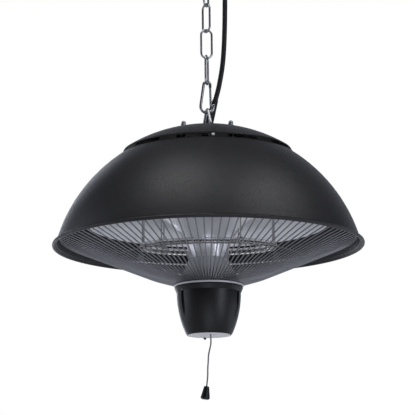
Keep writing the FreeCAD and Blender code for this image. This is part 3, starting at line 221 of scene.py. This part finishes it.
def surface(name, colour, rough, metal=0.0, vary=0.12, grain=None, blotch=14, streak=None, specular=0.5):
    """A solid surface: uneven in colour, more finely so in gloss, and grained where a grain is given."""
    made = Paint(name)
    patches = made.spread(made.noise(blotch, BLOTCH_DETAIL))
    streaks = made.noise(streak or blotch * STREAKS_PER_BLOTCH, STREAK_DETAIL)
    made.cover(
        {
            "Base Color": made.shades(patches, scaled(colour, 1 - vary), scaled(colour, 1 + vary)),
            "Roughness": made.spread(streaks, *rough),
            "Metallic": metal,
            "Specular IOR Level": specular,
        }
    )
    if grain:
        scale, *relief = grain
        made.bump(made.noise(scale, GRAIN_DETAIL), *relief)
    return made.material


def spun_metal(name, colour, rough, ring_scale, metal=1.0):
    """Sheet metal turned on a lathe: fine rings about the vertical axis."""
    made = Paint(name)
    rings = made.add(
        "ShaderNodeTexWave",
        {"Vector": made.place, "Scale": ring_scale, "Distortion": RING_WANDER, "Detail": NOISE_DETAIL},
        wave_type="RINGS",
        rings_direction="Z",
    ).outputs["Fac"]
    patches = made.spread(made.noise(SPUN_BLOTCH, SPUN_DETAIL))
    made.cover(
        {
            "Base Color": made.shades(patches, *[scaled(colour, share) for share in SPUN_SHADES]),
            "Roughness": made.spread(rings, *rough),
            "Metallic": metal,
        }
    )
    made.bump(rings, *RING_RELIEF)
    return made.material


def quartz_glass(name):
    """Clear fused quartz, a little milky and uneven."""
    made = Paint(name)
    made.cover(
        {
            "Base Color": made.shades(made.spread(made.noise(MILK_SCALE)), *MILK_COLOURS),
            "Roughness": made.spread(made.noise(GLAZE_SCALE), *GLAZE_ROUGH),
            "IOR": QUARTZ_IOR,
            "Transmission Weight": QUARTZ_CLEAR,
        }
    )
    return made.material


def braid(name, colour, pitch):
    """Fine braided yarn: two crossing sets of ridges along the length."""
    made = Paint(name)
    sets = []
    for lean in (YARN_LEAN, -YARN_LEAN):
        turn = (0, math.radians(lean), 0)
        leaning = made.add("ShaderNodeMapping", {"Vector": made.place, "Rotation": turn}).outputs[0]
        inputs = {"Vector": leaning, "Scale": 1 / pitch, "Distortion": YARN_WANDER}
        sets.append(made.add("ShaderNodeTexWave", inputs, bands_direction="Z").outputs["Fac"])
    ridges = made.out("ShaderNodeMath", *sets, operation="MULTIPLY")
    made.cover(
        {
            "Base Color": made.shades(ridges, *[scaled(colour, share) for share in YARN_SHADES]),
            "Roughness": made.spread(made.noise(FUZZ_SCALE), *FUZZ_ROUGH),
        }
    )
    made.bump(ridges, *YARN_RELIEF)
    return made.material


# Materials. A grain is its noise's scale and its relief.

POWDER = (600, 0.5, 0.0004)
MOULDED = (900, 0.08, 0.0002)
UNGLAZED = (700, 0.15, 0.0002)

charcoal = surface(
    "charcoal_coat", (0.0122, 0.0122, 0.0142), (0.38, 0.52), vary=0.1, grain=POWDER, streak=350
)
collar_black = surface("collar_black", (0.006, 0.006, 0.0065), (0.55, 0.65), grain=POWDER, specular=0.15)
zinc = surface("bright_zinc", (0.44, 0.445, 0.46), (0.2, 0.28), metal=1.0, vary=0.06, blotch=9)
nut_zinc = surface("nut_zinc", (0.3, 0.305, 0.315), (0.25, 0.35), metal=1.0, vary=0.06, blotch=20)
screw_zinc = surface("screw_zinc", (0.5, 0.505, 0.52), (0.35, 0.45), metal=0.3, vary=0.04, blotch=60)
strap_zinc = surface("strap_zinc", (0.26, 0.265, 0.275), (0.35, 0.5), metal=1.0, blotch=60)
bracket_zinc = surface("bracket_zinc", (0.5, 0.505, 0.52), (0.45, 0.6), metal=0.4, vary=0.1, blotch=60)
dull_zinc = surface("dull_zinc", (0.4, 0.4, 0.41), (0.35, 0.5), metal=1.0, vary=0.15, blotch=30)
aluminium = spun_metal("spun_aluminium", (0.87, 0.88, 0.91), (0.28, 0.36), 55)
skirt_metal = spun_metal("skirt_metal", (0.55, 0.556, 0.575), (0.42, 0.5), 90, metal=0.6)
quartz = quartz_glass("quartz")
filament = surface("filament_wire", (0.06, 0.05, 0.045), (0.5, 0.7), metal=0.6, vary=0.2, blotch=200)
ceramic = surface("ceramic", (0.7, 0.68, 0.64), (0.45, 0.6), vary=0.06, blotch=80, grain=UNGLAZED)
guard = surface("guard_wire", (0.28, 0.284, 0.302), (0.28, 0.38), metal=1.0, vary=0.06, blotch=20)
# Painted highlight: the outer hoop's near-white colour is a lighter copy of the guard's wire metal,
# standing in for the light that catches the hoop inside the rim.
hoop_painted_highlight = surface("hoop_painted_highlight", (0.9, 0.905, 0.92), (0.2, 0.28), metal=1.0, vary=0.05, blotch=20)
ring_metal = surface("ring_metal", (0.62, 0.625, 0.65), (0.36, 0.46), metal=0.45, vary=0.05, blotch=20)
satin_black = surface(
    "satin_black", (0.0055, 0.0055, 0.0072), (0.36, 0.42), vary=0.15, grain=MOULDED, specular=0.42
)
pale = surface("pale_plastic", (0.93, 0.93, 0.94), (0.4, 0.52), vary=0.03, grain=MOULDED)
rubber = surface(
    "black_rubber",
    (0.008, 0.008, 0.0088),
    (0.42, 0.55),
    vary=0.1,
    blotch=20,
    grain=MOULDED,
    specular=0.35,
)
nickel = surface("nickel", (0.7, 0.67, 0.6), (0.15, 0.28), metal=1.0, vary=0.08, blotch=80)
cord_yarn = braid("cord_yarn", (0.26, 0.26, 0.27), pitch=0.0011)
tie_web = braid("tie_web", (0.02, 0.02, 0.02), pitch=0.0016)

FINISHES = {
    charcoal: ["shade", "top_cap"],
    zinc: [
        "ceiling_hook",
        *[f"chain_link_{k}" for k in range(1, 9)],
        "carabiner",
        "carabiner_gate",
        "gate_pin",
        "hanging_eye",
        "eye_nuts",
        "cap_studs",
    ],
    nut_zinc: ["cap_nuts"],
    screw_zinc: ["collar_screws"],
    strap_zinc: ["housing_screws"],
    bracket_zinc: ["end_brackets", "tube_hangers"],
    dull_zinc: [
        "mounting_plate",
        "hanger_bracket",
        "bracket_screws",
        "tie_tube",
        "tube_nuts",
        "tube_spacers",
    ],
    aluminium: ["reflector"],
    skirt_metal: ["trumpet_skirt"],
    quartz: ["quartz_tubes"],
    filament: ["filaments"],
    ceramic: ["tube_end_caps", "terminal_block"],
    guard: ["grille_wires", "grille_mid_ring", "grille_clips"],
    hoop_painted_highlight: ["grille_outer_ring"],
    ring_metal: ["grille_foot_ring"],
    satin_black: ["switch_housing", "pull_knob"],
    collar_black: [
        "vent_collar",
        "housing_cover",
        "pull_switch",
        "switch_slider",
        "cable_gland",
        "gland_nut",
    ],
    pale: ["bottom_disc", "cord_bush"],
    rubber: ["strain_relief", "mains_plug"],
    nickel: ["plug_pins"],
    cord_yarn: ["cord_inner"],
    tie_web: ["cable_tie"],
}


def dress(piece, material):
    piece.data.materials.clear()
    piece.data.materials.append(material)


for finish, names in FINISHES.items():
    for name in names:
        dress(nodes[name], finish)


# Round pieces along a line

SPLINE_ORDER = 3
CORD_STEPS = 6  # lengthwise, from one control point to the next
CORD_BEVEL = 5  # Blender's bevel resolution
CORD_SMOOTH = 60  # degrees, and edges that turn more than this stay sharp


def smooth(mesh, angle):
    mesh.polygons.foreach_set("use_smooth", [True] * len(mesh.polygons))
    mesh.set_sharp_from_angle(angle=math.radians(angle))


def nurbs(name, points, radius, steps=CORD_STEPS, bevel=CORD_BEVEL):
    """A round curve along a smooth spline with these control points."""
    data = bpy.data.curves.new(name, "CURVE")
    data.dimensions = "3D"
    spline = data.splines.new("NURBS")
    spline.points.add(len(points) - 1)
    for knot, point in zip(spline.points, points):
        knot.co = (*point, 1)
    spline.order_u = SPLINE_ORDER
    spline.use_endpoint_u = True
    data.resolution_u = steps
    data.bevel_depth = radius
    data.bevel_resolution = bevel
    data.use_fill_caps = True
    piece = bpy.data.objects.new(name, data)
    scene.collection.objects.link(piece)
    return piece


def mesh_of(curve):
    bpy.context.view_layer.update()
    graph = bpy.context.evaluated_depsgraph_get()
    return bpy.data.meshes.new_from_object(curve.evaluated_get(graph))


def spline_path(curve):
    """The points along a curve's own line, with its thickness left off."""
    depth = curve.data.bevel_depth
    curve.data.bevel_depth = 0
    line = mesh_of(curve)
    curve.data.bevel_depth = depth
    path = [vertex.co.copy() for vertex in line.vertices]
    bpy.data.meshes.remove(line)
    return path


def as_mesh(curve):
    """The curve turned into a mesh piece of the same name."""
    mesh = mesh_of(curve)
    name = curve.name
    bpy.data.objects.remove(curve)
    piece = bpy.data.objects.new(name, mesh)
    mesh.name = name
    scene.collection.objects.link(piece)
    smooth(mesh, CORD_SMOOTH)
    return piece


# Mains lead. Its route is the source's, in mm from the tip of the boot that it comes out of.

BOOT_TIP = Vector((0.011801, 0.021, RIM + 0.211745))
BOOT_LEAN = math.radians(16)
CABLE_ROUTE = (
    (7.0, -1.3, 28.6),
    (10.5, -3.6, 48.1),
    (12.6, -6.0, 70.6),
    (13.9, -8.0, 96.1),
    (14.7, -9.5, 126.1),
    (15.2, -10.5, 160.1),
    (15.5, -11.0, 196.1),
    (15.4, -10.9, 231.1),
)
CABLE_RADIUS = 0.0035
COIL_APPROACH = Vector((0.1, 0.1, 31))  # in mm, from the route's end to just below the coil's start
COIL_OUTER = 0.0455
COIL_INNER = 0.033
COIL_LAYER = 0.0075
COIL_TURNS = 6.5
COIL_LAYERS = 4
COIL_CLIMB = 0.5  # turns that a climb to the next layer takes
COIL_TAIL = 0.033
COIL_POINTS = 16  # control points in each turn


def coil_point(centre, turn):
    """A place on the put-away coil, wound clockwise seen from the front, layer by layer."""
    per_layer = COIL_TURNS / COIL_LAYERS
    whole = min(int(turn / per_layer), COIL_LAYERS - 1)
    share = turn / per_layer - whole
    if whole % 2:
        share = 1 - share
    radius = COIL_OUTER - share * (COIL_OUTER - COIL_INNER)
    layer = 0.0
    for climb in range(1, COIL_LAYERS):
        foot = climb * per_layer - COIL_CLIMB / 2
        part = min(max((turn - foot) / COIL_CLIMB, 0), 1)
        layer += part * part * (3 - 2 * part)
    angle = math.pi - 2 * math.pi * turn
    across = Vector((math.cos(angle), 0, math.sin(angle)))
    return centre + across * radius - Vector((0, COIL_LAYER, 0)) * layer


def lead_points():
    """Up beside the chain, then the spare length wound up, with a short tail to the plug."""
    straight = Vector((math.sin(BOOT_LEAN), 0, math.cos(BOOT_LEAN))) * CABLE_ROUTE[0][2] / 2
    points = [BOOT_TIP, BOOT_TIP + straight * MM]
    points += [BOOT_TIP + Vector(offset) * MM for offset in CABLE_ROUTE]
    start = points[-1] + COIL_APPROACH * MM
    first = start + Vector((0, 0, 2 * CABLE_RADIUS))
    centre = first + Vector((COIL_OUTER, 0, 0))
    points.append(start)
    steps = round(COIL_TURNS * COIL_POINTS)
    points += [coil_point(centre, step / COIL_POINTS) for step in range(steps + 1)]
    tail = Vector((0, 0, COIL_TAIL / 2))
    points += [points[-1] - tail, points[-1] - 2 * tail]
    return points


def lead():
    curve = nurbs("lead", lead_points(), CABLE_RADIUS)
    path = spline_path(curve)
    piece = as_mesh(curve)
    dress(piece, rubber)
    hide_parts("power_cable", "cable_coil")
    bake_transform(piece)


lead()


# Pull cord. Its route is the source's, in mm from the bush that it comes out of.

CORD_EXIT = Vector((0.0019, -0.02, RIM - 0.1237))
PULL_ROUTE = (
    (0.3, 0.0, -6.5),
    (0.2, 0.0, -13.5),
    (-1.6, 0.0, -20.5),
    (-3.2, 0.0, -28.0),
    (-3.6, 0.0, -36.5),
    (-4.4, 0.0, -46.5),
    (-4.3, 0.0, -56.5),
    (-6.0, 0.0, -69.6),
)
PULL_RADIUS = 0.001


def pull_cord():
    points = [CORD_EXIT] + [CORD_EXIT + Vector(offset) * MM for offset in PULL_ROUTE]
    piece = nurbs("cord", points, PULL_RADIUS)
    dress(piece, cord_yarn)
    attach(piece, "pull_hang")
    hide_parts("pull_cord")


pull_cord()


# Screw in the pale disc. Its outline is radius and height in mm from the disc's face.

TURNED_STEPS = 24
TURNED_SMOOTH = 40  # degrees
DISC_FACE = RIM - 0.1225
DISC_SCREW_PLACE = Vector((-0.00596, 0.02583, DISC_FACE))
DISC_SCREW = (
    (0, 5.0),
    (1.1, 5.0),
    (1.1, 0.0),
    (1.9, 0.0),
    (1.9, -1.3),
    (1.7, -1.9),
    (1.1, -2.4),
    (0, -2.6),
)


def turned(name, profile, place):
    """A mesh turned about the upright axis through a place, from (radius, height) pairs in mm."""
    made = bmesh.new()
    turns = [2 * math.pi * step / TURNED_STEPS for step in range(TURNED_STEPS)]
    rows = []
    for radius, height in profile:
        ring = [Vector((radius * math.cos(turn), radius * math.sin(turn), height)) for turn in turns]
        spots = ring if radius else ring[:1]
        rows.append([made.verts.new(place + spot * MM) for spot in spots])
    for upper, lower in zip(rows, rows[1:]):
        for step in range(TURNED_STEPS):
            after = (step + 1) % TURNED_STEPS
            corners = [upper[step % len(upper)], upper[after % len(upper)]]
            corners += [lower[after % len(lower)], lower[step % len(lower)]]
            made.faces.new(list(dict.fromkeys(corners)))
    bmesh.ops.recalc_face_normals(made, faces=made.faces)
    mesh = bpy.data.meshes.new(name)
    made.to_mesh(mesh)
    made.free()
    smooth(mesh, TURNED_SMOOTH)
    piece = bpy.data.objects.new(name, mesh)
    scene.collection.objects.link(piece)
    return piece


def disc_screw():
    piece = turned("disc_screw_head", DISC_SCREW, DISC_SCREW_PLACE)
    dress(piece, satin_black)
    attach(piece, "heater")
    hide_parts("disc_screw")


disc_screw()


# Return spring in the switch

SPRING_RADIUS = 0.0023
SPRING_WIRE = 0.0003
SPRING_CURLS = 6
SPRING_POINTS = 16  # control points in each curl
SPRING_STEPS = 2  # coarser than a cord, because it is hidden
SPRING_BEVEL = 1


def return_spring():
    """The switch's spring, a fixed helix of wire; the real one shortens under the slider as the cord is
    pulled.
    """
    low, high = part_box("return_spring")
    centre = (Vector(low) + Vector(high)) / 2
    steps = SPRING_CURLS * SPRING_POINTS
    rise = (high[2] - low[2] - 2 * SPRING_WIRE) / steps
    points = []
    for step in range(steps + 1):
        turn = 2 * math.pi * step / SPRING_POINTS
        across = Vector((math.cos(turn), math.sin(turn), 0)) * SPRING_RADIUS
        points.append(Vector((centre.x, centre.y, low[2] + SPRING_WIRE + rise * step)) + across)
    piece = as_mesh(nurbs("spring", points, SPRING_WIRE, SPRING_STEPS, SPRING_BEVEL))
    dress(piece, dull_zinc)
    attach(piece, "heater")
    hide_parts("return_spring")
    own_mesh(piece)


return_spring()


# Lamps. After its name each has its bearing and height in degrees, distance, size, power and colour.

HEART = Vector((0, 0, RIM + 0.05))  # the place that the lamps face
NEUTRAL = (1, 1, 1)
COOL = (0.86, 0.89, 1)


def soft_light(name, bearing, height, distance, size, power, colour):
    """A soft box that faces the heater. Its bearing turns from -Y towards +X."""
    turn = math.radians(bearing)
    rise = math.radians(height)
    way = Vector((math.sin(turn) * math.cos(rise), -math.cos(turn) * math.cos(rise), math.sin(rise)))
    data = bpy.data.lights.new(name, "AREA")
    data.shape = "RECTANGLE"
    data.size, data.size_y = size
    data.energy = power
    data.color = colour
    lamp = bpy.data.objects.new(name, data)
    lamp.location = HEART + way * distance
    lamp.rotation_euler = (-way).to_track_quat("-Z", "Y").to_euler()
    scene.collection.objects.link(lamp)


soft_light("top", -36, 64, 2.1, (1.3, 1.0), 12, NEUTRAL)
soft_light("top_right", 58, 50, 2.0, (1.3, 0.8), 9, NEUTRAL)
soft_light("strip", 47, 0, 1.9, (0.7, 1.5), 9, COOL)
soft_light("side_right", 100, -12, 1.9, (1.2, 0.8), 2, COOL)
soft_light("panel", -98, 5, 1.9, (1.6, 1.4), 7.5, COOL)
soft_light("edge", -156, 9, 1.9, (0.35, 1.7), 4.4, COOL)
soft_light("front_low", 0, -30, 2.0, (1.2, 0.6), 3.2, COOL)


# World

WHITE = (1, 1, 1, 1)
ROOM = (0.31, 0.315, 0.345, 1)  # soft light on the object from all round
DIM = (0.056, 0.058, 0.066, 1)  # what shiny surfaces see in front and above
BACKDROP = (0.57, 0.59, 0.68, 1)  # what they see straight behind
FLOOR_NEAR = (0.31, 0.316, 0.347, 1)  # what they see below, in front
FLOOR_FAR = (0.55, 0.56, 0.615, 1)  # and behind
BEHIND = (0.6, 0.95)  # share of +Y in a direction, over which DIM turns into BACKDROP
FAR = (0.2, 0.75)  # and over which FLOOR_NEAR turns into FLOOR_FAR
BELOW = (-0.02, -0.16)  # share of +Z, over which the upper colours turn into the floor's


def world():
    """White behind the object, and a plain soft grey for the light that falls on it."""
    made = bpy.data.worlds.new("world")
    graph = bare_graph(made)
    place = graph.add("ShaderNodeTexCoord").outputs["Generated"]
    ways = graph.add("ShaderNodeSeparateXYZ", {"Vector": place}).outputs
    behind = graph.out("ShaderNodeMapRange", ways["Y"], *BEHIND)
    upper = graph.out("ShaderNodeMixRGB", behind, DIM, BACKDROP)
    far = graph.out("ShaderNodeMapRange", ways["Y"], *FAR)
    lower = graph.out("ShaderNodeMixRGB", far, FLOOR_NEAR, FLOOR_FAR)
    below = graph.out("ShaderNodeMapRange", ways["Z"], *BELOW)
    shine = graph.out("ShaderNodeMixRGB", below, upper, lower)
    light = graph.out("ShaderNodeMixRGB", graph.rays()["Is Glossy Ray"], ROOM, shine)
    soft = graph.out("ShaderNodeBackground", light)
    white = graph.out("ShaderNodeBackground", WHITE)
    mixed = graph.out("ShaderNodeMixShader", graph.seen(), soft, white)
    graph.add("ShaderNodeOutputWorld", {"Surface": mixed})
    scene.world = made


world()


# Floor

FLOOR_RADIUS = 1.6
FLOOR_LEVEL = -2.5
FLOOR_SIDES = 96
FLOOR_PAINT = (0.8, 0.8, 0.8, 1)
FLOOR_WHITE = 0.85  # the camera sees this share of plain white in its middle, and all white at its edge


def floor():
    """A plain pale floor, a room's height below the hook."""
    mesh = bpy.data.meshes.new("floor")
    made = bmesh.new()
    bmesh.ops.create_circle(made, cap_ends=True, segments=FLOOR_SIDES, radius=FLOOR_RADIUS)
    made.to_mesh(mesh)
    made.free()
    piece = bpy.data.objects.new("floor", mesh)
    piece.location.z = FLOOR_LEVEL
    scene.collection.objects.link(piece)
    finish = bpy.data.materials.new("floor_paint")
    graph = bare_graph(finish)
    paint = graph.out("ShaderNodeBsdfDiffuse", FLOOR_PAINT)
    white = graph.out("ShaderNodeEmission", WHITE)
    place = graph.add("ShaderNodeTexCoord").outputs["Object"]
    reach = graph.add("ShaderNodeVectorMath", {0: place}, operation="LENGTH").outputs["Value"]
    fade = graph.out("ShaderNodeMapRange", reach, FLOOR_RADIUS / 2, FLOOR_RADIUS, FLOOR_WHITE, 1.0)
    share = graph.out("ShaderNodeMath", graph.seen(), fade, operation="MULTIPLY")
    mixed = graph.out("ShaderNodeMixShader", share, paint, white)
    graph.add("ShaderNodeOutputMaterial", {"Surface": mixed})
    dress(piece, finish)


floor()
